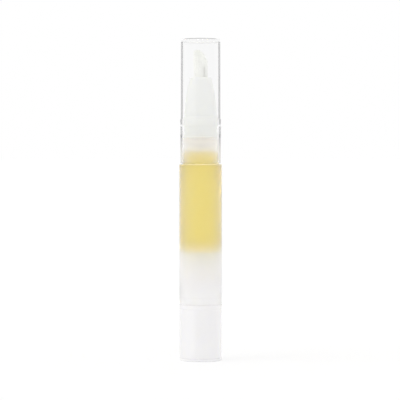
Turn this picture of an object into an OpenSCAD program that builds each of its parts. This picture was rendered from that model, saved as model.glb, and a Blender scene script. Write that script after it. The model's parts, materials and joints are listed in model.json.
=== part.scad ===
// Twist-up oil pen with a brush tip and a clear cap, standing upright on its base.
// Millimetres, +Z up, with the origin at the middle of the base.
// Turning the knob turns a keyed rod through a fixed nut, and the rod lifts the piston.

/* [Barrel] */
// Outer diameter of the barrel and of the knob
barrel_d = 17; // [16:0.1:19]
// Length of the barrel from the knob's seam to the shoulder
barrel_l = 55.9; // [52:0.1:75]
// Thickness of the barrel's wall round the oil
barrel_wall = 2.35; // [2.1:0.05:2.5]
// Thickness of the barrel's wall round the housing
barrel_skirt_wall = 1.1; // [0.9:0.05:1.2]
// How far the shoulder steps in to the neck
shoulder_step = 1.4; // [1.2:0.05:1.6]
// Length of the neck above the shoulder
neck_l = 10.3; // [9:0.1:14]
// Radius of the rounding on the shoulder's edge
shoulder_round = 0.4; // [0.3:0.1:1]

/* [Cap] */
// Thickness of the cap's side wall
cap_wall = 0.85; // [0.7:0.05:1.2]
// Thickness of the cap's flat top
cap_top_t = 1.2; // [0.8:0.1:2]
// Radial gap between the neck and the cap's skirt
cap_gap = 0.2; // [0.15:0.05:0.3]
// Gap between the shoulder and the cap's mouth
cap_lift = 0.4; // [0.3:0.1:0.8]
// Free height above the brush inside the cap
cap_headroom = 3; // [2:0.1:8]
// How much the cap narrows on radius towards its top
cap_draft = 0.08; // [0:0.01:0.12]
// Width of the snap band inside the cap
snap_band_l = 1.9; // [1.2:0.1:2.4]

/* [Nozzle] */
// Length of the nozzle's cone above its collar
cone_l = 15.8; // [12:0.1:22]
// Radius of the cone's open tip
cone_tip_r = 4.36; // [4.1:0.02:4.8]
// Power of the sine curve that the cone's side follows
ogive_power = 1.15; // [1:0.05:1.5]
// Length of the collar
collar_l = 3.8; // [3:0.1:5]
// Length of the snap groove under the collar
snap_groove_l = 4; // [3:0.1:5]
// Thickness of the flange that seats on the neck
flange_t = 0.7; // [0.5:0.1:1.2]
// Length of the plug inside the neck
plug_l = 5.4; // [5:0.1:7]
// Wall of the plug
plug_wall = 1.25; // [1.15:0.05:1.5]

/* [Brush] */
// Radius of the tuft where it is held
tuft_r = 2.6; // [2.3:0.05:2.8]
// How far the tuft stands out of the nozzle at its highest point
tuft_reach = 11.1; // [9:0.1:15]
// Wall of the sleeve that holds the tuft
ferrule_wall = 0.35; // [0.3:0.05:0.5]
// Depth of the sleeve in the nozzle
ferrule_l = 9; // [7:0.1:10]
// Radius of the feed tube in the tuft
feed_r = 0.55; // [0.4:0.05:0.7]
// Distance between neighbouring bristles where they are held
bristle_pitch = 0.24; // [0.23:0.005:0.25]
// Radius of one bristle
bristle_r = 0.1; // [0.08:0.01:0.11]

/* [Knob] */
// Length of the knob
knob_l = 21.4; // [20:0.1:26]
// Thickness of the knob's wall
knob_wall = 1.2; // [1.1:0.05:1.3]
// Gap between the knob and the barrel
seam = 0.2; // [0.1:0.05:0.3]
// Thickness of the rim of the end plug
rim_t = 1; // [0.8:0.1:2]
// Radius of the rounding under the end plug
foot_round = 0.4; // [0.3:0.1:0.7]

/* [Feed screw] */
// Rise of the thread in one turn
thread_lead = 2; // [1.6:0.1:2.4]
// Height of the thread's ridge
thread_depth = 0.5; // [0.4:0.05:0.6]
// Radius of the screw over its thread
rod_r = 2.2; // [2:0.05:2.4]
// Width of the screw across its two flats
rod_flats = 3; // [2.8:0.1:3.4]
// Length of the threaded nut
nut_l = 3.6; // [3:0.1:4.2]
// Wall of the drive sleeve outside the thread
sleeve_wall = 1.2; // [1:0.05:1.3]
// Number of teeth on the ratchet ring
ratchet_teeth = 16; // [12:2:24]

/* [Oil and piston] */
// Depth of the housing in the barrel
seat_depth = 11.2; // [10:0.1:12]
// Thickness of the piston's crown
crown_t = 2.8; // [2.6:0.1:3.6]
// Height of the low cone on the piston
nose_h = 0.8; // [0.6:0.1:2]
// Height of each wiping lip
lip_h = 1.2; // [1:0.1:1.4]

/* [Hidden] */
$fn = 96;

// Clearances that several pieces share
run_gap = 0.05;
press_gap = 0.02;
slide_gap = 0.1;
free_gap = 0.3;
overrun = 0.5;
edge = 0.2;

// Radii from the outside in
barrel_r = barrel_d / 2;
bore_r = barrel_r - barrel_wall;
neck_r = barrel_r - shoulder_step;
seat_r = barrel_r - barrel_skirt_wall;
knob_bore_r = barrel_r - knob_wall;
spigot_r = knob_bore_r - run_gap;
collar_inset = 0.1;
collar_r = neck_r - collar_inset;
plug_r = bore_r - press_gap;

// Radii of the feed, from the screw out
core_r = rod_r - thread_depth;
flat_x = rod_flats / 2;
sleeve_r = rod_r + sleeve_wall;
guide_r = sleeve_r + free_gap;
nut_r = guide_r - slide_gap;
nut_sides = 8;
nut_ledge = 0.3;
lip_hole_r = nut_r * cos(180 / nut_sides) - nut_ledge;

// The housing's boss and the piston's skirt share the room between the guide and the bore
piston_r = bore_r - run_gap;
boss_wall_share = 3 / 7;
boss_r = guide_r + boss_wall_share * (piston_r - guide_r - free_gap);
skirt_bore_r = boss_r + free_gap;

// Shares of the room between the drive sleeve and the knob's bore. From the sleeve out they go to the
// click ring's hub, a gap, its arms, a gap, the ratchet's teeth and rim, and the spigot's wall
ring_room = spigot_r - sleeve_r;
hub_share = 16 / 77;
arm_share = 8 / 77;
arm_gap_share = 4 / 77;
tooth_share = 9 / 77;
rim_share = 10 / 77;
spigot_wall_share = 20 / 77;
hollow_r = spigot_r - spigot_wall_share * ring_room;

// Heights from the floor up
knob_low = rim_t;
knob_top = knob_low + knob_l;
barrel_low = knob_top + seam;
shoulder_z = barrel_low + barrel_l;
neck_top = shoulder_z + neck_l;
housing_top = barrel_low + seat_depth;
nut_lip_t = 0.6;
nut_lift = 1.5;
nut_low = housing_top + nut_lift;
nut_top = nut_low + nut_l;
boss_top = nut_top + nut_lip_t;
floor_t = rim_t + edge;
plug_depth = 5;
web_low = knob_low + plug_depth;
web_t = 1.6;
web_top = web_low + web_t;
foot_t = 0.8;
sleeve_low = web_low - foot_t;
sleeve_top = nut_low - free_gap;
rod_rest = 0.8;
rod_low = floor_t + rod_rest;
rod_show = 0.4;
rod_top = boss_top + rod_show;

// Heights and radii of the swivel tip and of the socket that holds it
disc_t = 0.4;
crown_gap = 0.2;
neck_gap = 0.8;
head_h = 0.8;
swivel_neck_r = core_r * 0.6;
swivel_head_r = core_r * 0.95;
crown_low = rod_top + disc_t + crown_gap;
head_low = rod_top + disc_t + neck_gap;
head_top = head_low + head_h;
socket_low = head_low - slide_gap;
socket_top = head_top + slide_gap;
crown_top = crown_low + crown_t;
piston_low = housing_top + free_gap;

// Heights of the nozzle, the brush and the cap
plug_low = neck_top - plug_l;
groove_low = neck_top + flange_t;
collar_low = groove_low + snap_groove_l;
collar_top = collar_low + collar_l;
cone_top = collar_top + cone_l;
ferrule_low = cone_top - ferrule_l;
tuft_top = cone_top + tuft_reach;
cap_low = shoulder_z + cap_lift;
cap_inner_top = tuft_top + cap_headroom;
cap_top = cap_inner_top + cap_top_t;

// Points along an arc, for the rounded corners of a turned outline
arc_steps = 6;
function arc(c, r, from, to) = [for (i = [0 : arc_steps])
  let (a = from + (to - from) * i / arc_steps) [c[0] + r * cos(a), c[1] + r * sin(a)]];

module turned(outline) {
  rotate_extrude() polygon(outline);
}

// Barrel: one moulded tube with a shoulder and a neck, bored for the oil and wider below
neck_edge = 0.3;
module barrel() {
  color([0.96, 0.9, 0.68, 0.6]) turned(concat(
    [[seat_r, barrel_low], [barrel_r - edge, barrel_low], [barrel_r, barrel_low + edge]],
    arc([barrel_r - shoulder_round, shoulder_z - shoulder_round], shoulder_round, 0, 90),
    [[neck_r, shoulder_z], [neck_r, neck_top - neck_edge], [neck_r - neck_edge, neck_top],
     [bore_r, neck_top], [bore_r, housing_top], [seat_r, housing_top]]));
}

// Nozzle: hollow moulded applicator, plugged into the neck down to its flange
groove_depth = 0.5;
groove_r = collar_r - groove_depth;
collar_step = 0.45;
cone_base_r = collar_r - collar_step;
cone_steps = 14;
tip_edge = 0.25;
seal_r = 0.5;
seal_z = plug_low + plug_l / 2;
seal_ring_r = bore_r - press_gap - seal_r;
seal_slot_r = seal_ring_r - seal_r - press_gap;
channel_r = 0.8;
cavity_r = plug_r - plug_wall;
cavity_top = collar_low;
ferrule_r = tuft_r + ferrule_wall;
socket_r = ferrule_r + press_gap;
function cone_r(share) = cone_tip_r + (cone_base_r - cone_tip_r) * pow(sin(90 * share), ogive_power);
module nozzle() {
  cone_side = [for (i = [0 : cone_steps - 1]) let (share = 1 - i / cone_steps)
    [cone_r(share), cone_top - share * cone_l]];
  color([0.95, 0.95, 0.93]) difference() {
    turned(concat(
      [[channel_r, cavity_top], [cavity_r, neck_top], [cavity_r, plug_low + edge],
       [cavity_r + edge, plug_low], [plug_r - edge, plug_low], [plug_r, plug_low + edge],
       [plug_r, neck_top], [collar_r, neck_top], [collar_r, groove_low], [groove_r, groove_low],
       [groove_r, collar_low], [collar_r, collar_low], [collar_r, collar_top - edge],
       [collar_r - edge, collar_top]],
      cone_side,
      [[cone_tip_r, cone_top - tip_edge], [cone_tip_r - tip_edge, cone_top],
       [socket_r, cone_top], [socket_r, ferrule_low], [channel_r, ferrule_low]]));
    translate([0, 0, seal_z - seal_r - press_gap]) difference() {
      cylinder(r = bore_r, h = 2 * (seal_r + press_gap));
      translate([0, 0, -overrun]) cylinder(r = seal_slot_r, h = 2 * (seal_r + press_gap + overrun));
    }
  }
}

// Seal: soft ring in the plug's slot
module neck_seal() {
  color([0.9, 0.9, 0.88]) translate([0, 0, seal_z])
    rotate_extrude() translate([seal_ring_r, 0]) circle(r = seal_r);
}

// Ferrule: thin sleeve pressed into the nozzle, with the tuft in it
ferrule_top = cone_top - edge;
module brush_ferrule() {
  color([0.9, 0.92, 0.92]) translate([0, 0, ferrule_low]) difference() {
    cylinder(r = ferrule_r, h = ferrule_top - ferrule_low);
    translate([0, 0, -overrun]) cylinder(r = tuft_r + press_gap, h = ferrule_top - ferrule_low + 2 * overrun);
  }
}

// Feed tube: carries the oil up through the backing into the tuft
feed_wall = 0.15;
feed_top = cone_top + tuft_reach / 3;
feed_low = ferrule_low + edge;
module feed_tube() {
  color([0.93, 0.93, 0.93]) translate([0, 0, feed_low]) difference() {
    cylinder(r = feed_r, h = feed_top - feed_low);
    translate([0, 0, -overrun]) cylinder(r = feed_r - feed_wall, h = feed_top - feed_low + 2 * overrun);
  }
}

// Bristles: three-sided strands fused to a round backing, spreading a little above the ferrule.
// The tuft is cut slanting, with its highest point off the middle
backing_t = 1;
backing_low = ferrule_low + edge;
bristle_sides = 3;
bristle_root = backing_low + backing_t / 2;
row_share = sqrt(3) / 2;
bristle_rows = ceil(tuft_r / (bristle_pitch * row_share));
spread_shares = [1, 1, 1.1, 1.06];
bristle_levels = len(spread_shares);
peak_x = -0.4 * tuft_r;
slant = 0.94 / tuft_r;
roof = 0.4 / tuft_r;
bristle_cols = ceil(tuft_r / bristle_pitch) + 1;
bristle_spots = [for (row = [-bristle_rows : bristle_rows], col = [-bristle_cols : bristle_cols])
  let (spot = bristle_pitch * [col + (row % 2 == 0 ? 0 : 1 / 2), row * row_share])
  if (norm(spot) < tuft_r - 1.5 * bristle_r && norm(spot) > feed_r + 2 * bristle_r) spot];
function tip_z(spot) = tuft_top - slant * pow(spot[0] - peak_x, 2) - roof * pow(spot[1], 2);
function level_z(spot, k) = [bristle_root, ferrule_top, cone_top + tuft_reach / 3, tip_z(spot)][k];
function bristle_points(spot) = [for (k = [0 : bristle_levels - 1], i = [0 : bristle_sides - 1])
  let (a = 360 * i / bristle_sides)
  [spot[0] * spread_shares[k] + bristle_r * cos(a), spot[1] * spread_shares[k] + bristle_r * sin(a),
   level_z(spot, k)]];
// Faces of closed tubes, each of so many rings of n points. Each square is split from a point
// to the next point one ring up, which is also the way that a thread's ridge climbs
function tube_faces(n, rings, tubes) = [for (t = [0 : tubes - 1]) let (base = t * n * rings) each concat(
  [[for (i = [0 : n - 1]) base + i]],
  [for (k = [0 : rings - 2], i = [0 : n - 1])
    let (a = base + k * n + i, b = base + k * n + (i + 1) % n)
    each [[a, b + n, b], [a, a + n, b + n]]],
  [[for (i = [n - 1 : -1 : 0]) base + (rings - 1) * n + i]])];
module bristles() {
  color([0.95, 0.95, 0.92]) union() {
    translate([0, 0, backing_low]) difference() {
      cylinder(r = tuft_r, h = backing_t);
      translate([0, 0, -overrun]) cylinder(r = feed_r + press_gap, h = backing_t + 2 * overrun);
    }
    polyhedron([for (spot = bristle_spots) each bristle_points(spot)],
      tube_faces(bristle_sides, bristle_levels, len(bristle_spots)), convexity = 10);
  }
}

// Cap: clear moulded shell whose snap band sits in the groove under the collar
cap_skirt_in = neck_r + cap_gap;
cap_skirt_out = cap_skirt_in + cap_wall;
collar_gap = 0.12;
cap_in = collar_r + collar_gap;
cap_out = cap_in + cap_wall;
cap_step_rise = 2.6;
cap_step_z = collar_low + cap_step_rise;
cap_step_l = 0.5;
cap_round = 0.25;
cap_inner_round = 0.35;
band_r = collar_r + run_gap;
band_slope = 0.4;
band_top = collar_low - slide_gap;
band_low = band_top - snap_band_l;
module cap() {
  color([0.9, 0.95, 0.97, 0.35]) turned(concat(
    [[cap_skirt_in + edge, cap_low], [cap_skirt_out - edge, cap_low], [cap_skirt_out, cap_low + edge],
     [cap_skirt_out, cap_step_z], [cap_out, cap_step_z + cap_step_l]],
    arc([cap_out - cap_draft - cap_round, cap_top - cap_round], cap_round, 0, 90),
    [[0, cap_top], [0, cap_inner_top]],
    arc([cap_in - cap_draft - cap_inner_round, cap_inner_top - cap_inner_round], cap_inner_round, 90, 0),
    [[cap_in, cap_step_z + cap_step_l], [cap_skirt_in, cap_step_z], [cap_skirt_in, band_top],
     [band_r, band_top - band_slope], [band_r, band_low + band_slope], [cap_skirt_in, band_low],
     [cap_skirt_in, cap_low + edge]]));
}

// Piston: soft cup with a wiping lip at each end, a low cone in front and a snap socket behind
lip_slope = 0.6;
waist_r = piston_r - 0.3 * (piston_r - skirt_bore_r);
nose_base_r = 0.72 * piston_r;
nose_tip_r = 0.28 * piston_r;
lip_in_r = 0.93 * piston_r;
moat_r = 0.84 * piston_r;
moat_depth = 0.7 * lip_h;
module piston() {
  color([0.93, 0.94, 0.93]) turned([
    [skirt_bore_r, piston_low], [piston_r, piston_low], [piston_r, piston_low + lip_h],
    [waist_r, piston_low + lip_h + lip_slope], [waist_r, crown_top - lip_h - lip_slope],
    [piston_r, crown_top - lip_h], [piston_r, crown_top], [lip_in_r, crown_top],
    [moat_r, crown_top - moat_depth], [nose_base_r, crown_top - moat_depth / 2],
    [nose_tip_r, crown_top + nose_h - edge], [nose_tip_r - edge, crown_top + nose_h],
    [0, crown_top + nose_h], [0, socket_top], [swivel_head_r + slide_gap, socket_top],
    [swivel_head_r + slide_gap, socket_low], [swivel_neck_r + slide_gap, socket_low],
    [swivel_neck_r + slide_gap, crown_low], [skirt_bore_r, crown_low]]);
}

// Oil: fills the bore between the piston and the nozzle's plug
oil_r = bore_r - slide_gap;
module oil_fill() {
  color([0.91, 0.83, 0.5, 0.8]) turned([
    [0, crown_top + nose_h + slide_gap], [nose_tip_r, crown_top + nose_h + slide_gap],
    [nose_base_r + slide_gap, crown_top + slide_gap], [oil_r, crown_top + slide_gap],
    [oil_r, plug_low - slide_gap], [0, plug_low - slide_gap]]);
}

// Housing: insert pressed into the barrel, whose spigot carries the knob and whose boss holds the nut
spigot_rise = 3.4;
spigot_foot = web_top + spigot_rise;
hook = 0.2;
hook_l = 1.1;
hook_gap = 0.15;
top_wall = 1.2;
module housing() {
  color([0.94, 0.94, 0.93]) difference() {
    turned([
      [hollow_r, spigot_foot], [spigot_r, spigot_foot], [spigot_r + hook, spigot_foot + hook],
      [spigot_r + hook, spigot_foot + hook_l], [spigot_r, spigot_foot + hook_l],
      [spigot_r, barrel_low], [seat_r - press_gap, barrel_low], [seat_r - press_gap, housing_top],
      [boss_r, housing_top], [boss_r, boss_top - edge], [boss_r - edge, boss_top],
      [lip_hole_r, boss_top], [lip_hole_r, nut_low + nut_l / 2], [guide_r, nut_low + nut_l / 2],
      [guide_r, housing_top - top_wall], [hollow_r, housing_top - top_wall]]);
    translate([0, 0, nut_low]) cylinder(r = nut_r, h = nut_l, $fn = nut_sides);
  }
}

// Thread: rings of points at even heights, as many to a turn's rise as there are columns round,
// so that the ridge climbs one ring a column and its edges run along the faces' diagonals
thread_columns = 10;
thread_row = thread_lead / thread_columns;
crest_share = 0.1;
flank_share = 0.2;
function ridge(z, a, wider) = let (turns = z / thread_lead - a / 360,
    off = abs(turns - floor(turns) - 1 / 2) - wider / thread_lead)
  max(0, min(1, (crest_share + flank_share - off) / flank_share));
function thread_ring(z, radial, wider, flat) = [for (i = [0 : thread_columns - 1])
  let (a = 360 * i / thread_columns, r = core_r + radial + thread_depth * ridge(z, a, wider))
  [max(-flat, min(flat, r * cos(a))), r * sin(a), z]];
function thread_rows(low, high) = floor((high - low) / thread_row);
module threaded(low, high, radial, wider, flat) {
  rows = thread_rows(low, high);
  polyhedron([for (k = [0 : rows]) each thread_ring(high - (rows - k) * thread_row, radial, wider, flat)],
    tube_faces(thread_columns, rows + 1, 1), convexity = 10);
}

// Rod: long screw with two flats, so that it can be turned and still slide
module screw_rod() {
  color([0.9, 0.9, 0.9]) threaded(rod_low, rod_top, 0, 0, flat_x);
}

// Nut: eight-sided insert pressed into the boss, with the matching thread cut through it
nut_radial = 0.2;
nut_axial = 0.15;
module thread_nut() {
  color([0.85, 0.86, 0.88]) difference() {
    translate([0, 0, nut_low]) cylinder(r = nut_r - press_gap, h = nut_l, $fn = nut_sides);
    threaded(nut_low - overrun, nut_top + overrun, nut_radial, nut_axial, rod_r + overrun);
  }
}

// Swivel tip: the rod's snap head, which turns in the piston's socket
module swivel_tip() {
  color([0.88, 0.88, 0.88]) turned([
    [0, rod_top], [core_r, rod_top], [core_r, rod_top + disc_t], [swivel_neck_r, rod_top + disc_t],
    [swivel_neck_r, head_low], [swivel_head_r, head_low], [swivel_head_r, head_low + head_h / 2],
    [swivel_neck_r, head_top], [0, head_top]]);
}

// Drive sleeve: twelve-sided tube fixed in the knob's web, with a bore that fits the flats
sleeve_sides = 12;
foot_flare = 0.8;
module drive_sleeve() {
  bore = (rod_r + slide_gap) / cos(180 / sleeve_sides);
  color([0.86, 0.88, 0.9]) difference() {
    union() {
      translate([0, 0, sleeve_low])
        cylinder(r = sleeve_r + foot_flare, h = foot_t, $fn = sleeve_sides);
      translate([0, 0, web_low]) cylinder(r = sleeve_r, h = sleeve_top - web_low, $fn = sleeve_sides);
    }
    translate([0, 0, sleeve_low - overrun]) linear_extrude(sleeve_top - sleeve_low + 2 * overrun)
      intersection() {
        circle(r = bore, $fn = sleeve_sides);
        square([rod_flats + 2 * slide_gap, 2 * bore], center = true);
      }
  }
}

// Ratchet ring: sawtooth ring pressed inside the housing's spigot
ratchet_lift = 1;
ratchet_low = spigot_foot + ratchet_lift;
ratchet_h = 3;
tooth_h = tooth_share * ring_room;
ratchet_root_r = hollow_r - rim_share * ring_room;
module ratchet_ring() {
  tooth = 360 / ratchet_teeth;
  color([0.88, 0.88, 0.86]) translate([0, 0, ratchet_low]) linear_extrude(ratchet_h) difference() {
    circle(r = hollow_r - press_gap);
    polygon([for (i = [0 : ratchet_teeth - 1])
      each [(ratchet_root_r - tooth_h) * [cos(i * tooth), sin(i * tooth)],
            ratchet_root_r * [cos((i + 1) * tooth), sin((i + 1) * tooth)]]]);
  }
}

// Click ring: hub keyed on the drive sleeve, with two sprung arms whose tips drop into the teeth
click_gap = 0.2;
click_hub_r = sleeve_r + hub_share * ring_room;
arm_t = arm_share * ring_room;
arm_out_r = ratchet_root_r - tooth_h - arm_gap_share * ring_room;
arm_sweep = 130;
pawl_sweep = 8;
pawl_turn = 360 / ratchet_teeth * 0.45;
module sector(r, from, to) {
  reach = 2 * r;
  steps = ceil((to - from) / 45);
  polygon(concat([[0, 0]], [for (i = [0 : steps]) let (a = from + (to - from) * i / steps)
    reach * [cos(a), sin(a)]]));
}
module band_arc(inner, outer, from, to) {
  intersection() {
    difference() {
      circle(r = outer);
      circle(r = inner);
    }
    sector(outer, from, to);
  }
}
module click_ring() {
  color([0.8, 0.84, 0.86]) translate([0, 0, ratchet_low + click_gap])
    linear_extrude(ratchet_h - 2 * click_gap) difference() {
      union() {
        circle(r = click_hub_r);
        for (side = [0, 180]) rotate(side + pawl_turn) {
          band_arc(arm_out_r - arm_t, arm_out_r, 0, arm_sweep);
          band_arc(click_hub_r - arm_t, arm_out_r, arm_sweep - 2 * pawl_sweep, arm_sweep);
          band_arc(arm_out_r - arm_t, arm_out_r + tooth_h / 2, 0, pawl_sweep);
        }
      }
      circle(r = sleeve_r + press_gap, $fn = sleeve_sides);
    }
}

// Knob: turned to feed the oil, with a web that holds the drive sleeve and a groove for the hook
groove_extra = 0.1;
plug_bore_r = knob_bore_r - run_gap;
module knob() {
  color([0.95, 0.94, 0.94]) difference() {
    turned([
      [plug_bore_r, knob_low], [barrel_r - edge, knob_low], [barrel_r, knob_low + edge],
      [barrel_r, knob_top - edge], [barrel_r - edge, knob_top], [knob_bore_r, knob_top],
      [knob_bore_r, spigot_foot + hook_l + hook_gap],
      [knob_bore_r + hook + groove_extra, spigot_foot + hook_l + hook_gap],
      [knob_bore_r + hook + groove_extra, spigot_foot - hook_gap],
      [knob_bore_r, spigot_foot - hook_gap], [knob_bore_r, web_top], [0, web_top], [0, web_low],
      [plug_bore_r, web_low]]);
    translate([0, 0, web_low - overrun])
      cylinder(r = sleeve_r + press_gap, h = web_t + 2 * overrun, $fn = sleeve_sides);
  }
}

// End plug: cup pressed into the knob from below, whose rim is the foot that the pen stands on
end_plug_wall = 1;
module end_plug() {
  spigot = plug_bore_r - press_gap;
  color([0.95, 0.94, 0.94]) turned(concat(
    [[0, 0]],
    arc([barrel_r - foot_round, foot_round], foot_round, -90, 0),
    [[barrel_r, rim_t - edge], [barrel_r - edge, rim_t], [spigot, rim_t],
     [spigot, sleeve_low - edge - slide_gap], [spigot - edge, sleeve_low - slide_gap],
     [spigot - end_plug_wall, sleeve_low - slide_gap], [spigot - end_plug_wall, floor_t], [0, floor_t]]));
}

barrel();
nozzle();
neck_seal();
brush_ferrule();
feed_tube();
bristles();
cap();
oil_fill();
piston();
housing();
thread_nut();
ratchet_ring();
screw_rod();
swivel_tip();
drive_sleeve();
click_ring();
knob();
end_plug();
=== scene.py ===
import json
import math
import random

import bmesh
import bpy
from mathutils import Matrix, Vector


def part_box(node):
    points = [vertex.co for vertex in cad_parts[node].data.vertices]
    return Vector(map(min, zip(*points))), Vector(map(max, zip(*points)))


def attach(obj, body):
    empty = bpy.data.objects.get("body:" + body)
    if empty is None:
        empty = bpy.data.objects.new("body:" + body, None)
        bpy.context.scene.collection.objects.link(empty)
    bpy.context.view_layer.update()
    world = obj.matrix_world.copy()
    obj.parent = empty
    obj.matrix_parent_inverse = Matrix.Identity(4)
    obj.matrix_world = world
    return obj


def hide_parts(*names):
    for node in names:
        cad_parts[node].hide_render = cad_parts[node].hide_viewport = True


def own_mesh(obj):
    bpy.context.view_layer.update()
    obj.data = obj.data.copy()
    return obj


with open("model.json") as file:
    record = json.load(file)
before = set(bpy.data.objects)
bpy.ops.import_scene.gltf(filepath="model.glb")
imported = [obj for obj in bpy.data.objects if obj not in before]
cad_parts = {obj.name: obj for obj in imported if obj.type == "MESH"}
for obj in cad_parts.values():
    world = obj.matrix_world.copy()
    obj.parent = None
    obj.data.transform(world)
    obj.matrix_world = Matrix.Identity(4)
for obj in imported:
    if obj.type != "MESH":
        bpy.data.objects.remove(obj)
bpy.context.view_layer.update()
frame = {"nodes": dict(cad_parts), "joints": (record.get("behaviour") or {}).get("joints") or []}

# Barrel
# One moulded tube of natural polypropylene, glossy outside, frosted in its bore and a little milky
# at its edges, foot and neck. The cap slips over the neck, and the wider lower bore is pressed over
# the white housing.
mm = 0.001
barrel_low, barrel_high = (corner.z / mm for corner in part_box("barrel"))
barrel_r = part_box("barrel")[1].x / mm
neck_l = 10.3
neck_r = 7.26
neck_end = barrel_high + 0.03
bore_r = 6.15
in_wall_r = bore_r + 0.4
seat_r = 7.4
shoulder_z = barrel_high - neck_l
shoulder_round = 0.35
shoulder_edge_r = neck_r + 0.3
shoulder_edge_z = shoulder_z - 0.4
neck_low = shoulder_z + 0.6
frost_top = shoulder_z + 1
neck_haze_z = shoulder_z + 6.5
foot_haze_z = [26, 35, 40, 49.5]
housing_gap = 0.3
housing_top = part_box("piston")[0].z / mm - housing_gap
moulded_edge = 0.05
cad_seam = 0.2
seam = 0.01
foot_z = barrel_low - cad_seam / 2 + seam / 2
band_line_z = 25.3
line_depth = 0.08
line_half = 0.12
line_floor = 0.04
sharp_angle = math.radians(40)
relief = 0.000004


def arc(radius, height, size, start, end, steps=8):
    """Points of a rounded corner round a centre, from one angle to another in degrees."""
    turn = [math.radians(start + (end - start) * i / steps) for i in range(steps + 1)]
    return [(radius + size * math.cos(a), height + size * math.sin(a)) for a in turn]


def moulding_line(z):
    """Points of the shallow line that the mould leaves all round the outside at a height."""
    line_r = barrel_r - line_depth
    return [(barrel_r, z - line_half), (line_r, z - line_floor),
            (line_r, z + line_floor), (barrel_r, z + line_half)]


def shape(name, body, points, faces, finish, node):
    """A smooth piece from points in millimetres, which stands in for a CAD node on its body."""
    mesh = bpy.data.meshes.new(name)
    mesh.from_pydata([[c * mm for c in p] for p in points], [], faces)
    solid = bmesh.new()
    solid.from_mesh(mesh)
    bmesh.ops.recalc_face_normals(solid, faces=solid.faces)
    solid.to_mesh(mesh)
    solid.free()
    mesh.polygons.foreach_set("use_smooth", [True] * len(mesh.polygons))
    mesh.set_sharp_from_angle(angle=sharp_angle)
    mesh.materials.append(finish.owner)
    piece = bpy.data.objects.new(name, mesh)
    bpy.context.scene.collection.objects.link(piece)
    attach(piece, body)
    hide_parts(node)
    return piece


def lathe(name, body, outline, finish, node, turns=144):
    """A piece turned round the pen's axis from its outline of (radius, height) points."""
    points, rings, faces = [], [], []
    for radius, height in outline:
        count = turns if radius > 0 else 1
        rings.append([len(points) + i % count for i in range(turns + 1)])
        for i in range(count):
            a = 2 * math.pi * i / turns
            points.append((radius * math.cos(a), radius * math.sin(a), height))
    for low, high in zip(rings, rings[1:] + rings[:1]):
        for i in range(turns):
            face = list(dict.fromkeys([low[i], low[i + 1], high[i + 1], high[i]]))
            if len(face) > 2:
                faces.append(face)
    piece = shape(name, body, points, faces, finish, node)
    even = piece.modifiers.new("even_shading", "WEIGHTED_NORMAL")
    even.keep_sharp = True
    return piece


class Wire:
    """A value on its way through a material. Arithmetic on it adds Math nodes."""

    def __init__(self, finish, socket):
        self.finish = finish
        self.socket = socket

    def math(self, operation, *values):
        """What a Math node makes of some values or wires."""
        return self.finish.node("Math", {"operation": operation}, dict(enumerate(values)))

    def __add__(self, other):
        return self.math("ADD", self, other)

    def __radd__(self, other):
        return self.math("ADD", other, self)

    def __rsub__(self, other):
        return self.math("SUBTRACT", other, self)

    def __mul__(self, other):
        return self.math("MULTIPLY", self, other)

    def __rmul__(self, other):
        return self.math("MULTIPLY", other, self)

    def __gt__(self, other):
        return self.math("GREATER_THAN", self, other)

    def __lt__(self, other):
        return self.math("LESS_THAN", self, other)


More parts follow.
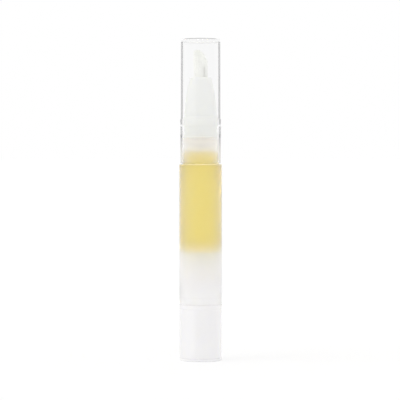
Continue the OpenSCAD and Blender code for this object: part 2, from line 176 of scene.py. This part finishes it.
class Finish:
    """The nodes of a material or of the world."""

    def __init__(self, owner):
        self.owner = owner
        owner.use_nodes = True
        self.tree = owner.node_tree
        self.tree.nodes.clear()

    def node(self, kind, settings, sockets, output=0):
        """Adds a node, sets it up, feeds its sockets with values or wires, and gives an output."""
        made = self.tree.nodes.new("ShaderNode" + kind)
        for name, value in settings.items():
            setattr(made, name, value)
        for name, value in sockets.items():
            if isinstance(value, Wire):
                self.tree.links.new(value.socket, made.inputs[name])
            else:
                made.inputs[name].default_value = value
        return Wire(self, made.outputs[output]) if made.outputs else None

    def place(self, axis=None):
        """Where a point is on the piece, in metres, or how far along one axis."""
        point = self.node("TexCoord", {}, {}, "Object")
        return point if axis is None else self.node("SeparateXYZ", {}, {0: point}, axis)

    def radius(self):
        """How far a point is from the pen's axis, in metres."""
        flat = {0: self.place(), 1: (1, 1, 0)}
        across = self.node("VectorMath", {"operation": "MULTIPLY"}, flat)
        return self.node("VectorMath", {"operation": "LENGTH"}, {0: across}, "Value")

    def tilt(self):
        """How far a point's surface is turned away from the ray that meets it, from 0 to 1."""
        return self.node("LayerWeight", {}, {"Blend": 0.5}, "Facing")

    def grain(self, scale, stretch=(1, 1, 1), detail=2):
        """Noise with so many waves to a metre, drawn out along the axes."""
        point = self.node("VectorMath", {"operation": "MULTIPLY"}, {0: self.place(), 1: stretch})
        sockets = {"Vector": point, "Scale": scale, "Detail": detail, "Roughness": 0.5}
        return self.node("TexNoise", {}, sockets, "Fac")

    def between(self, value, low, high):
        """A value's place from low to high, from 0 to 1, eased at both ends."""
        sockets = {"Value": value, "From Min": low, "From Max": high}
        return self.node("MapRange", {"interpolation_type": "SMOOTHSTEP"}, sockets)

    def rise(self, low, high):
        """How far up a point is between two heights in millimetres, from 0 to 1, eased."""
        return self.between(self.place("Z"), low * mm, high * mm)

    def stretch(self, start, full, fade, end):
        """Whether a point is in a stretch of the pen's height, from 0 to 1, eased at both ends."""
        return self.rise(start, full) * (1 - self.rise(fade, end))

    def above(self, level):
        """Whether a point is above a height in millimetres."""
        return self.place("Z") > level * mm

    def mix(self, share, first, second):
        """A colour between two."""
        return self.node("Mix", {"data_type": "RGBA"}, {0: share, 6: first, 7: second}, 2)

    def mix_shader(self, share, first, second):
        """A surface between two."""
        return self.node("MixShader", {}, {0: share, 1: first, 2: second})

    def bump(self, height, depth):
        """The normal of a surface with so high a relief, in metres."""
        return self.node("Bump", {}, {"Height": height, "Distance": depth, "Strength": 1})

    def plastic(self, sockets):
        """A plastic or a liquid, as its sockets say."""
        return self.node("BsdfPrincipled", {}, sockets)

    def surface(self, shader, volume=None):
        """Puts a shader on the piece, and fills it with a volume if there is one."""
        sockets = {"Surface": shader}
        if volume:
            sockets["Volume"] = volume
        self.node("OutputMaterial", {}, sockets)


barrel_plastic = Finish(bpy.data.materials.new("barrel_plastic"))
flow = barrel_plastic.grain(240, (1, 1, 0.25))
fine = barrel_plastic.grain(3500)
bore_side = barrel_plastic.radius() < in_wall_r * mm
frosted = bore_side * (barrel_plastic.place("Z") < frost_top * mm)
natural = barrel_plastic.mix(flow, (0.993, 0.992, 0.985, 1), (0.998, 0.997, 0.993, 1))
on_neck = barrel_plastic.above(neck_low)
clear = barrel_plastic.plastic({
    "Base Color": barrel_plastic.mix(on_neck, natural, (0.968, 0.962, 0.93, 1)),
    "Roughness": 0.3 + 0.05 * flow + 0.25 * frosted,
    "IOR": 1.49,
    "Transmission Weight": 1,
    "Normal": barrel_plastic.bump(0.7 * flow + 0.3 * fine, relief),
})
milky = barrel_plastic.plastic({
    "Base Color": barrel_plastic.mix(flow, (0.988, 0.982, 0.99, 1), (0.998, 0.992, 1, 1)),
    "Roughness": 0.3 + 0.05 * flow,
    "IOR": 1.49,
})
# The haze lies in the outer skin, and shows most where the skin is seen from the side.
side_on = barrel_plastic.tilt()
foot_haze = 0.5 * barrel_plastic.stretch(*foot_haze_z)
side_haze = 0.025 + 0.15 * barrel_plastic.between(side_on, 0.1, 0.9)
neck_haze = 0.32 * barrel_plastic.rise(frost_top, neck_haze_z)
neck_side = 0.02 + 0.1 * barrel_plastic.between(side_on, 0.02, 0.35)
neck_haze = neck_haze + barrel_plastic.above(shoulder_z) * neck_side
# Painted highlight: the shoulder's outer edge is mixed towards the milky plastic, which draws a
# bright line there.
painted_shoulder_highlight = barrel_plastic.above(shoulder_edge_z)
painted_shoulder_highlight = painted_shoulder_highlight * (barrel_plastic.radius() > shoulder_edge_r * mm)
haze = (1 - bore_side) * (foot_haze + neck_haze + side_haze + 0.2 * painted_shoulder_highlight)
barrel_plastic.surface(barrel_plastic.mix_shader(haze, clear, milky))
lathe("barrel_shell", "barrel", [
    (seat_r, foot_z),
    *arc(barrel_r - moulded_edge, foot_z + moulded_edge, moulded_edge, -90, 0),
    *moulding_line(band_line_z),
    *arc(barrel_r - shoulder_round, shoulder_z - shoulder_round, shoulder_round, 0, 90),
    (neck_r, shoulder_z),
    *arc(neck_r - moulded_edge, neck_end - moulded_edge, moulded_edge, 0, 90),
    (bore_r, neck_end),
    (bore_r, housing_top),
    (seat_r, housing_top),
], barrel_plastic, "barrel")

# Oil
# The clear yellow oil wets the bore, so its mesh reaches a hair into the wall and no air shows
# between. It ends under the nozzle's plug and on the piston. The share of the column left when the
# piston has risen its whole stroke is worked out, but the mesh doesn't shorten.
oil_low, oil_high = (corner.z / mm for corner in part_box("oil_fill"))
oil_gap = 0.1
piston_low, nose_top = (corner.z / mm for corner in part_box("piston"))
piston_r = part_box("piston")[1].x / mm
crown_top = oil_low - oil_gap
nose_base_r = 0.72 * piston_r
nose_tip_r = 0.28 * piston_r
wetting = 0.03
feed_joint = next(joint for joint in frame["joints"] if joint["name"] == "piston_feed")
stroke = feed_joint["range_m"][1] / mm
oil = Finish(bpy.data.materials.new("oil"))
absorb = oil.node("VolumeAbsorption", {}, {"Color": (0.94, 0.835, 0.02, 1), "Density": 140})
oil.surface(oil.plastic({
    "Base Color": (1, 1, 1, 1),
    "Roughness": 0,
    "IOR": 1.47,
    "Transmission Weight": 1,
}), absorb)
oil_column = lathe("oil_column", "barrel", [
    (0, nose_top - wetting),
    (nose_tip_r, nose_top - wetting),
    (nose_base_r, crown_top - wetting),
    (bore_r + wetting, crown_top - wetting),
    (bore_r + wetting, oil_high + oil_gap),
    (0, oil_high + oil_gap),
], oil, "oil_fill")
left_over = (oil_high - crown_top - stroke) / (oil_high - crown_top)
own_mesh(oil_column)

# Piston
# A cup moulded in soft natural polyethylene, with a wiping lip at each end, a cone in front and a
# socket that snaps over the rod's tip. Its colour is painted yellow at the top and whitens towards
# the foot, as painted light for the oil's colour glowing down through its crown.
skirt_bore_r = 4.9
lip_h = 1.2
lip_slope = 0.6
lip_round = 0.1
lip_r = piston_r - lip_round
waist_r = piston_r - 0.3 * (piston_r - skirt_bore_r)
crown_low = 40.5
lip_root_r = 0.93 * piston_r
dish_r = 0.84 * piston_r
dish_z = crown_top - 0.7 * lip_h
nose_foot_z = crown_top - 0.35 * lip_h
nose_round = 0.4
tip_socket_r = 1.7
tip_socket_l = 1.6
painted_oil_glow_margin = 1
piston_plastic = Finish(bpy.data.materials.new("piston_plastic"))
# Painted light: the oil's yellow, strongest at the crown and fading towards the foot.
painted_oil_glow = piston_plastic.rise(piston_low + painted_oil_glow_margin, crown_top - painted_oil_glow_margin)
piston_plastic.surface(piston_plastic.plastic({
    "Base Color": piston_plastic.mix(painted_oil_glow, (0.985, 0.98, 0.985, 1), (0.83, 0.825, 0.6, 1)),
    "Roughness": 0.4 + 0.1 * piston_plastic.grain(1500),
    "IOR": 1.5,
}))
lathe("piston_cup", "piston", [
    (skirt_bore_r, piston_low),
    *arc(lip_r, piston_low + lip_round, lip_round, -90, 0, 4),
    *arc(lip_r, piston_low + lip_h - lip_round, lip_round, 0, 60, 4),
    (waist_r, piston_low + lip_h + lip_slope),
    (waist_r, crown_top - lip_h - lip_slope),
    *arc(lip_r, crown_top - lip_h + lip_round, lip_round, -60, 0, 4),
    *arc(lip_r, crown_top - lip_round, lip_round, 0, 90, 4),
    (lip_root_r, crown_top),
    (dish_r, dish_z),
    (nose_base_r, nose_foot_z),
    *arc(nose_tip_r - nose_round, nose_top - nose_round, nose_round, 30, 90, 6),
    (0, nose_top),
    (0, crown_low + tip_socket_l),
    (tip_socket_r, crown_low + tip_socket_l),
    (tip_socket_r, crown_low),
    (skirt_bore_r, crown_low),
], piston_plastic, "piston")

# Housing
# The insert of glossy white polypropylene pressed into the barrel's lower end, which whitens it
# there. A hooked spigot below carries the knob, and the boss on top holds the nut.
housing_low, housing_high = (corner.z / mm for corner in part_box("housing"))
spigot_r = 7.25
hollow_r = 6.25
boss_r = 4.6
boss_round = 0.2
guide_r = 3.7
hook = 0.2
hook_l = 1.1
press_gap = 0.02
bore_gap = 0.05
nut_seat_r = 3.05
nut_seat_z = housing_high - 2.4
ceiling_z = housing_top - 1.2
covered_z = barrel_low + 0.2
floor_glow_low = 0.4
floor_glow_high = 1.6
white_plastic = Finish(bpy.data.materials.new("white_plastic"))
mottle = white_plastic.grain(180, (1, 1, 0.4))
orange_peel = white_plastic.grain(1400, detail=3)
# Painted light: the white is lighter near the floor, against the shade at the foot.
painted_light_near_floor = 1 - white_plastic.rise(floor_glow_low, floor_glow_high)
# Painted light: the housing is whiter where the barrel covers it, for the light that the tube
# takes.
painted_light_under_tube = white_plastic.above(covered_z)
sleeve_white = white_plastic.mix(mottle, (0.955, 0.937, 0.938, 1), (0.978, 0.963, 0.964, 1))
sleeve_white = white_plastic.mix(painted_light_under_tube, sleeve_white, (0.995, 0.988, 0.995, 1))
white_plastic.surface(white_plastic.plastic({
    "Base Color": white_plastic.mix(painted_light_near_floor, sleeve_white, (0.998, 0.992, 0.993, 1)),
    "Roughness": 0.1 + 0.06 * orange_peel,
    "IOR": 1.49,
    "Specular IOR Level": 0.9,
    "Subsurface Weight": 0.4,
    "Subsurface Radius": (0.0012, 0.0012, 0.001),
    "Subsurface Scale": 1,
    "Normal": white_plastic.bump(0.6 * mottle + 0.4 * orange_peel, relief),
}))
lathe("housing_insert", "barrel", [
    (hollow_r, housing_low),
    (spigot_r, housing_low),
    (spigot_r + hook, housing_low + hook),
    (spigot_r + hook, housing_low + hook_l),
    (spigot_r, housing_low + hook_l),
    (spigot_r, barrel_low),
    (seat_r - press_gap, barrel_low),
    (seat_r - press_gap, housing_top - press_gap),
    (bore_r - bore_gap, housing_top - press_gap),
    (bore_r - bore_gap, piston_low - press_gap),
    (boss_r, piston_low - press_gap),
    *arc(boss_r - boss_round, housing_high - boss_round, boss_round, 0, 90, 4),
    (nut_seat_r, housing_high),
    (nut_seat_r, nut_seat_z),
    (guide_r, nut_seat_z),
    (guide_r, ceiling_z),
    (hollow_r, ceiling_z),
], white_plastic, "housing")

# Knob
# The moulded sleeve of the same white plastic that is turned to feed the oil. A web inside holds
# the drive sleeve, and a groove in its bore snaps over the housing's hook.
knob_low, knob_high = (corner.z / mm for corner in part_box("knob"))
knob_bore_r = 7.3
knob_edge = 0.05
knob_top = knob_high + cad_seam / 2 - seam / 2
knob_foot_round = 0.12
knob_foot_z = knob_low + 0.15
knob_line_z = 20.7
plug_grip_r = knob_bore_r - 0.05
web_low = 6.0
web_top = 7.6
groove_r = 7.6
groove_high = housing_low + 1.25
groove_foot = housing_low - 0.15
sleeve_r = 3.42
lathe("knob_shell", "knob", [
    (plug_grip_r, knob_low),
    *arc(barrel_r - knob_foot_round, knob_foot_z, knob_foot_round, -90, 0, 6),
    *moulding_line(knob_line_z),
    *arc(barrel_r - knob_edge, knob_top - knob_edge, knob_edge, 0, 90, 8),
    (knob_bore_r, knob_top),
    (knob_bore_r, groove_high),
    (groove_r, groove_high),
    (groove_r, groove_foot),
    (knob_bore_r, groove_foot),
    (knob_bore_r, web_top),
    (sleeve_r, web_top),
    (sleeve_r, web_low),
    (plug_grip_r, web_low),
], white_plastic, "knob")

# End plug
# The cup of white plastic pressed into the knob from below, which closes it. Its rounded rim is
# the foot that the pen stands on.
plug_spigot_r = 7.23
plug_hollow_r = plug_spigot_r - 1
plug_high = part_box("end_plug")[1].z / mm
plug_floor = 1.2
rim_t = 1.0
rim_round = 0.1
foot_round = 0.25
spigot_round = 0.2
lathe("end_plug_cup", "knob", [
    (0, 0),
    *arc(barrel_r - foot_round, foot_round, foot_round, -90, 0, 10),
    *arc(barrel_r - rim_round, rim_t - rim_round, rim_round, 0, 90, 6),
    (plug_spigot_r, rim_t),
    *arc(plug_spigot_r - spigot_round, plug_high - spigot_round, spigot_round, 0, 90, 4),
    (plug_hollow_r, plug_high),
    (plug_hollow_r, plug_floor),
    (0, plug_floor),
], white_plastic, "end_plug")

# Nozzle
# A hollow applicator moulded in satin white polypropylene, plugged into the neck down to its
# flange. Inside the neck the plug is painted lighter and warmer, as painted light against the shade
# under the flange, and its end is painted yellow, as painted light from the oil below. Above the
# flange are the snap groove, the collar and the rounded cone that holds the brush; from the groove
# to just above the collar the body is painted darker, as painted shade.
plug_low, cone_top = (corner.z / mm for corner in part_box("nozzle"))
collar_r = 7.0
snap_r = 6.75
plug_r = 6.13
plug_round = 0.2
cavity_r = 4.88
channel_r = 0.8
flange_t = 0.7
snap_l = 4.0
collar_l = 3.8
groove_low = barrel_high + flange_t
collar_low = groove_low + snap_l
collar_top = collar_low + collar_l
collar_edge = 0.12
collar_round = 0.3
edge_r = collar_r - collar_edge
cone_l = cone_top - collar_top
cone_base_r = 6.55
cone_tip_r = 4.36
cone_power = 1.15
cone_steps = 28
cone_round = 0.3
socket_r = 2.97
socket_edge = 0.12
ferrule_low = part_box("brush_ferrule")[0].z / mm
seal_z = plug_low + 2.7
seal_half = 0.52
seal_bed_r = 5.09
painted_neck_light_low = plug_low + 3
painted_neck_light_high = barrel_high + 2
painted_groove_shade_high = collar_top + 2
painted_oil_light_low = plug_low - 0.4
painted_oil_light_high = plug_low + 2.4
spark_depth = 0.000005
nozzle_plastic = Finish(bpy.data.materials.new("nozzle_plastic"))
sheen = nozzle_plastic.grain(300, (1, 1, 0.3))
spark = nozzle_plastic.grain(5200)
# Painted light: inside the neck the plug is lighter and warmer, against the shade under the flange.
painted_neck_light = 1 - nozzle_plastic.rise(painted_neck_light_low, painted_neck_light_high)
# Painted shade: the body is darker from the snap groove to just above the collar.
painted_groove_shade = 1 - nozzle_plastic.rise(groove_low, painted_groove_shade_high)
body = nozzle_plastic.mix(painted_groove_shade, (0.85, 0.855, 0.832, 1), (0.812, 0.817, 0.785, 1))
body = nozzle_plastic.mix(0.25 * sheen, body, (0.9, 0.905, 0.88, 1))
# Painted light: the plug's end is yellow for the oil's light from below.
painted_oil_light = 1 - nozzle_plastic.rise(painted_oil_light_low, painted_oil_light_high)
plug_end = nozzle_plastic.mix(painted_oil_light, (0.94, 0.915, 0.855, 1), (0.92, 0.88, 0.6, 1))
nozzle_plastic.surface(nozzle_plastic.plastic({
    "Base Color": nozzle_plastic.mix(painted_neck_light, body, plug_end),
    "Roughness": 0.38 + 0.12 * sheen,
    "IOR": 1.49,
    "Specular IOR Level": 0.35,
    "Subsurface Weight": 0.3,
    "Subsurface Radius": (0.001, 0.001, 0.0008),
    "Subsurface Scale": 1,
    "Normal": nozzle_plastic.bump(spark, spark_depth),
}))


def cone_r(share):
    """The cone's radius at a share of its length below the tip."""
    bulge = math.sin(math.pi / 2 * share) ** cone_power
    return cone_tip_r + (cone_base_r - cone_tip_r) * bulge


lathe("nozzle_body", "barrel", [
    (channel_r, collar_low),
    (cavity_r, barrel_high),
    (cavity_r, plug_low + plug_round),
    (cavity_r + plug_round, plug_low),
    *arc(plug_r - plug_round, plug_low + plug_round, plug_round, -90, 0, 4),
    (plug_r, seal_z - seal_half),
    (seal_bed_r, seal_z - seal_half),
    (seal_bed_r, seal_z + seal_half),
    (plug_r, seal_z + seal_half),
    (plug_r, barrel_high),
    *arc(edge_r, barrel_high + collar_edge, collar_edge, -90, 0, 4),
    *arc(edge_r, groove_low - collar_edge, collar_edge, 0, 90, 4),
    (snap_r, groove_low),
    (snap_r, collar_low),
    *arc(edge_r, collar_low + collar_edge, collar_edge, -90, 0, 4),
    *arc(collar_r - collar_round, collar_top - collar_round, collar_round, 0, 90, 6),
    *[(cone_r(1 - i / cone_steps), collar_top + cone_l * i / cone_steps)
      for i in range(cone_steps)],
    *arc(cone_tip_r - cone_round, cone_top - cone_round, cone_round, 0, 90, 6),
    *arc(socket_r + socket_edge, cone_top - socket_edge, socket_edge, 90, 180, 4),
    (socket_r, ferrule_low),
    (channel_r, ferrule_low),
], nozzle_plastic, "nozzle")

# Brush
# Fine nylon bristles, bundled in a thin sleeve and cut slanting. They spread a little where they
# leave the nozzle, and streaks at one side of the root are painted darker, as painted shade.
tuft_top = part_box("bristles")[1].z / mm
tuft_r = 2.6
peak_x = -0.4 * tuft_r
slant = 0.3615
rounding = 0.154
uneven = 0.14
feed_r = 0.55
pitch = 0.128
row_pitch = 0.866
stray = 0.02
lean_most = 0.06
strand_r = 0.066
strand_sides = 5
root_z = ferrule_low + 0.6
height_shares = [0, 0.3, 0.55, 0.75, 0.9, 1]
width_shares = [1, 1, 1, 0.95, 0.85, 0.45]
spread_shares = [1, 1.02, 1.09, 1.12, 1.12, 1.1]
painted_root_shade_side = 1.6
painted_root_shade_low = cone_top + 3
painted_root_shade_high = cone_top + 6
bristle_nylon = Finish(bpy.data.materials.new("bristle_nylon"))
clump = bristle_nylon.grain(1400, (1, 1, 0.04))
# Painted shade: darker streaks on one side of the tuft near its root.
root_side = bristle_nylon.between(bristle_nylon.place("X"), 0, painted_root_shade_side * mm)
near_root = 1 - bristle_nylon.rise(painted_root_shade_low, painted_root_shade_high)
painted_root_shade = root_side * near_root * bristle_nylon.between(clump, 0.42, 0.55)
plain_nylon = bristle_nylon.mix(clump, (0.98, 0.985, 0.955, 1), (0.998, 0.999, 0.98, 1))
bristle_nylon.surface(bristle_nylon.plastic({
    "Base Color": bristle_nylon.mix(painted_root_shade, plain_nylon, (0.84, 0.84, 0.81, 1)),
    "Roughness": 0.3 + 0.15 * clump,
    "IOR": 1.53,
}))
tuft_points, tuft_faces = [], []


def strand(x, y, top, lean):
    """Adds a bristle to the tuft. It spreads and leans on its way up, and thins out at its top."""
    base = len(tuft_points)
    for share, width, out in zip(height_shares, width_shares, spread_shares):
        middle = x * out + lean[0] * share, y * out + lean[1] * share
        for side in range(strand_sides):
            a = 2 * math.pi * side / strand_sides
            tuft_points.append((middle[0] + strand_r * width * math.cos(a),
                                middle[1] + strand_r * width * math.sin(a),
                                root_z + (top - root_z) * share))
    last = len(tuft_points) - strand_sides
    tuft_faces.append([base + side for side in reversed(range(strand_sides))])
    tuft_faces.append([last + side for side in range(strand_sides)])
    for ring in range(base, last, strand_sides):
        for side in range(strand_sides):
            a, b = ring + side, ring + (side + 1) % strand_sides
            tuft_faces.append([a, b, b + strand_sides, a + strand_sides])


dice = random.Random(7)
rows = math.ceil(tuft_r / pitch / row_pitch)
for row in range(-rows, rows + 1):
    for column in range(-rows, rows + 1):
        x = pitch * (column + (row % 2) / 2) + dice.uniform(-stray, stray)
        y = pitch * row * row_pitch + dice.uniform(-stray, stray)
        if not feed_r + strand_r < math.hypot(x, y) < tuft_r - strand_r:
            continue
        top = tuft_top - slant * (x - peak_x) ** 2 - rounding * y ** 2 - dice.uniform(0, uneven)
        lean = dice.uniform(-lean_most, lean_most), dice.uniform(-lean_most, lean_most)
        strand(x, y, top, lean)
shape("tuft", "barrel", tuft_points, tuft_faces, bristle_nylon, "bristles")

# Feed screw and small inner pieces
# The threaded rod with its swivel tip, the nut that it climbs through, the drive sleeve and the
# ratchet with its click ring are moulded in white acetal and snapped into the housing and knob. The
# brush's sleeve and feed tube and the neck's seal are as pale. All keep their CAD solids.
inner_pieces = ["feed_tube", "brush_ferrule", "neck_seal", "thread_nut", "ratchet_ring",
                "screw_rod", "swivel_tip", "drive_sleeve", "click_ring"]


def grey(level):
    """A plain grey, from black at 0 to white at 1."""
    return level, level, level, 1


inner_plastic = Finish(bpy.data.materials.new("inner_plastic"))
inner_plastic.surface(inner_plastic.plastic({
    "Base Color": inner_plastic.mix(inner_plastic.grain(700), grey(0.86), grey(0.9)),
    "Roughness": 0.4 + 0.1 * inner_plastic.grain(2500),
    "IOR": 1.48,
}))
for name in inner_pieces:
    skin = frame["nodes"][name].data.materials
    skin.clear()
    skin.append(inner_plastic.owner)

# Cap
# A shell moulded in clear polystyrene with a flat top. Its outline and its top's outer edge carry
# painted dark lines and painted light. Its thicker skirt slips over the neck, and the bead inside
# snaps into the groove under the nozzle's collar.
cap_low, cap_high = (corner.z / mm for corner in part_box("cap"))
skirt_in = 7.3
skirt_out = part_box("cap")[1].x / mm
cap_in = 7.12
cap_out = 7.97
draft = 0.08
step_z = 96.1
step_l = 0.5
cap_inner_top = cap_high - 1.2
cap_round = 0.12
inner_round = 0.2
top_in_r = cap_in - draft - inner_round
top_out_r = cap_out - draft - cap_round
painted_edge_lines_l = 0.28
corner_r = cap_in - 0.4
band_r = 7.05
band_top = 93.8
band_low = 89.0
band_steps = 14
cap_edge = 0.2
cap_turns = 192
beside_neck_low = cap_low + 2
pale_rim_z = [band_top - 0.5, band_top, band_top + 0.2, band_top + 0.6]
dark_rim_z = [barrel_high - 0.2, barrel_high + 0.5, barrel_high + 1.2, barrel_high + 1.9]
cap_clear = Finish(bpy.data.materials.new("cap_clear"))
polish = cap_clear.grain(900, (1, 1, 0.3))
outer_skin = cap_clear.radius() > (cap_in + cap_out) / 2 * mm
# A painted dark line: the wall's colour darkens only where a ray enters it edge on, which draws the
# cap's outline.
facing = cap_clear.tilt()
entering = 1 - cap_clear.node("NewGeometry", {}, {}, "Backfacing")
below_top = cap_clear.place("Z") < cap_inner_top * mm
painted_outline = cap_clear.between(facing, 0.5, 0.6) * outer_skin * below_top * entering
# Painted highlight: the dark outline fades at the bead's top, a pale break.
painted_outline = painted_outline * (1 - 0.9 * cap_clear.stretch(*pale_rim_z))
# Painted light and shade: the outline is oil-yellow beside the neck and nearly black at the neck's
# top.
beside_neck = 1 - cap_clear.rise(beside_neck_low, barrel_high)
rim = cap_clear.mix(beside_neck, grey(0.27), (0.64, 0.6, 0.49, 1))
rim = cap_clear.mix(cap_clear.stretch(*dark_rim_z), rim, grey(0.1))
# Painted shade: a grey line along the inside corner of the top.
painted_corner_shade = cap_clear.above(cap_inner_top - inner_round) * (cap_clear.radius() > corner_r * mm)
painted_corner_shade = painted_corner_shade * (1 - outer_skin)
tint = cap_clear.mix(painted_corner_shade, cap_clear.mix(painted_outline, grey(1), rim), grey(0.8))
clear = cap_clear.plastic({
    "Base Color": tint,
    "Roughness": 0.004 + 0.008 * polish,
    "IOR": 1.5,
    "Transmission Weight": 1,
})
# Painted shade: the top's outer edge is a grey line where a ray enters it; where one leaves it, it
# turns translucent and bright.
near_edge = cap_clear.node("BsdfDiffuse", {}, {"Color": grey(0.42)})
far_edge = cap_clear.node("BsdfTranslucent", {}, {"Color": grey(0.95)})
painted_edge_lines = cap_clear.mix_shader(entering, far_edge, near_edge)
top_edge = 0.9 * outer_skin * cap_clear.above(cap_high - painted_edge_lines_l)
top_edge = top_edge * (1 - entering * cap_clear.between(facing, 0.3, 0.5))
cap_clear.surface(cap_clear.mix_shader(top_edge, clear, painted_edge_lines))
bead = [(skirt_in - (skirt_in - band_r) * math.sin(math.pi * i / band_steps) ** 2,
         band_top - (band_top - band_low) * i / band_steps) for i in range(band_steps + 1)]
lathe("cap_shell", "cap", [
    *arc(skirt_in + cap_edge, cap_low + cap_edge, cap_edge, 180, 270, 5),
    *arc(skirt_out - cap_edge, cap_low + cap_edge, cap_edge, -90, 0, 5),
    (skirt_out, step_z),
    (cap_out, step_z + step_l),
    *arc(top_out_r, cap_high - cap_round, cap_round, 0, 90, 8),
    (0, cap_high),
    (0, cap_inner_top),
    *arc(top_in_r, cap_inner_top - inner_round, inner_round, 90, 0, 8),
    (cap_in, step_z + step_l),
    (skirt_in, step_z),
    *bead,
], cap_clear, "cap", cap_turns)

# Studio
# A white sweep with soft light all round: a large soft box at the left in front, a dimmer front, a
# bright panel overhead and a soft key lamp. The camera has a long lens and looks a little down.
# Places here are in metres.
floor_reach = 40
box_edge = math.tan(math.radians(27))
box_level = 0.55
front_level = 0.65
refracted_level = 0.95
far_box_share = 0.5
overhead_level = 6
overhead_steep = 0.8
overhead_front = -0.1
sweep_glow = 0.115
floor_corners = [(-floor_reach, -floor_reach, 0), (floor_reach, -floor_reach, 0),
                 (floor_reach, floor_reach, 0), (-floor_reach, floor_reach, 0)]
floor_mesh = bpy.data.meshes.new("floor")
floor_mesh.from_pydata(floor_corners, [], [[0, 1, 2, 3]])
floor = bpy.data.objects.new("floor", floor_mesh)
bpy.context.scene.collection.objects.link(floor)


def ray(finish, kind):
    """Whether the ray that arrives is of a kind."""
    return finish.node("LightPath", {}, {}, kind)


def scattered(finish):
    """Whether the ray that arrives has left a dull surface before."""
    return ray(finish, "Diffuse Depth") > 0.5


def either(first, second):
    """Whether one of two holds."""
    return first.math("MAXIMUM", first, second)


def panels(x, y, box_share):
    """How bright the studio is in a direction, with its soft box at a share of its level."""
    ahead = y < 0
    soft_box = ahead * (x < box_edge * y) * box_level * box_share
    return 1 - ahead * (1 - front_level) + soft_box


sweep = Finish(bpy.data.materials.new("white_sweep"))
shiny = ray(sweep, "Is Glossy Ray")
through = ray(sweep, "Is Transmission Ray")
shown = either(ray(sweep, "Is Camera Ray"), either(shiny, through))
white = sweep.node("Emission", {}, {"Color": grey(1), "Strength": sweep_glow * shown})
paper = sweep.node("BsdfDiffuse", {}, {"Color": grey(0.86)})
lit = sweep.node("AddShader", {}, {0: paper, 1: white})
sheet = panels(sweep.place("X"), sweep.place("Y"), 1)
glare = sweep.node("Emission", {}, {"Color": grey(1), "Strength": sheet})
mirror = shiny * (1 - through) * (1 - scattered(sweep))
sweep.surface(sweep.mix_shader(mirror, lit, glare))
floor_mesh.materials.append(sweep.owner)

world = Finish(bpy.data.worlds.new("studio"))
bpy.context.scene.world = world.owner
direction = world.node("TexCoord", {}, {}, "Generated")
x, y, z = (world.node("SeparateXYZ", {}, {0: direction}, axis) for axis in "XYZ")
eye_ray = ray(world, "Is Camera Ray")
refracted = ray(world, "Is Transmission Ray")
# Rays bent by clear plastic meet one level all round, so it doesn't show the panels' edges.
overhead = overhead_level * (z > overhead_steep) * (y < overhead_front) * (1 - refracted)
around = panels(x, y, far_box_share)
studio = around * (1 - refracted) + refracted_level * refracted + overhead
seen_direct = (1 - scattered(world)) * either(ray(world, "Is Glossy Ray"), refracted)
level = eye_ray + (1 - eye_ray) * (seen_direct * studio + (1 - seen_direct))
light = world.node("Background", {}, {"Color": grey(1), "Strength": level})
world.node("OutputWorld", {}, {"Surface": light})

key_data = bpy.data.lights.new("key", "SUN")
key_data.angle = math.radians(40)
key_data.energy = 0.2
key = bpy.data.objects.new("key", key_data)
key.rotation_euler = (math.radians(45), 0, math.radians(-72))
key.visible_glossy = False
key.visible_camera = False
bpy.context.scene.collection.objects.link(key)

eye = (-0.00024, -0.757, 0.082)
aim_height = 0.0641
look_down = math.atan2(eye[2] - aim_height, -eye[1])
camera_data = bpy.data.cameras.new("camera")
camera_data.sensor_width = 36
camera_data.lens = 170.26
camera_data.clip_end = 100
camera = bpy.data.objects.new("camera", camera_data)
camera.location = eye
camera.rotation_euler = (math.pi / 2 - look_down, 0, 0)
bpy.context.scene.collection.objects.link(camera)
bpy.context.scene.camera = camera
bpy.context.scene.view_settings.view_transform = "Standard"
light_paths = bpy.context.scene.cycles
light_paths.blur_glossy = 0
light_paths.max_bounces = 160
light_paths.diffuse_bounces = 16
light_paths.glossy_bounces = 120
light_paths.transmission_bounces = 48
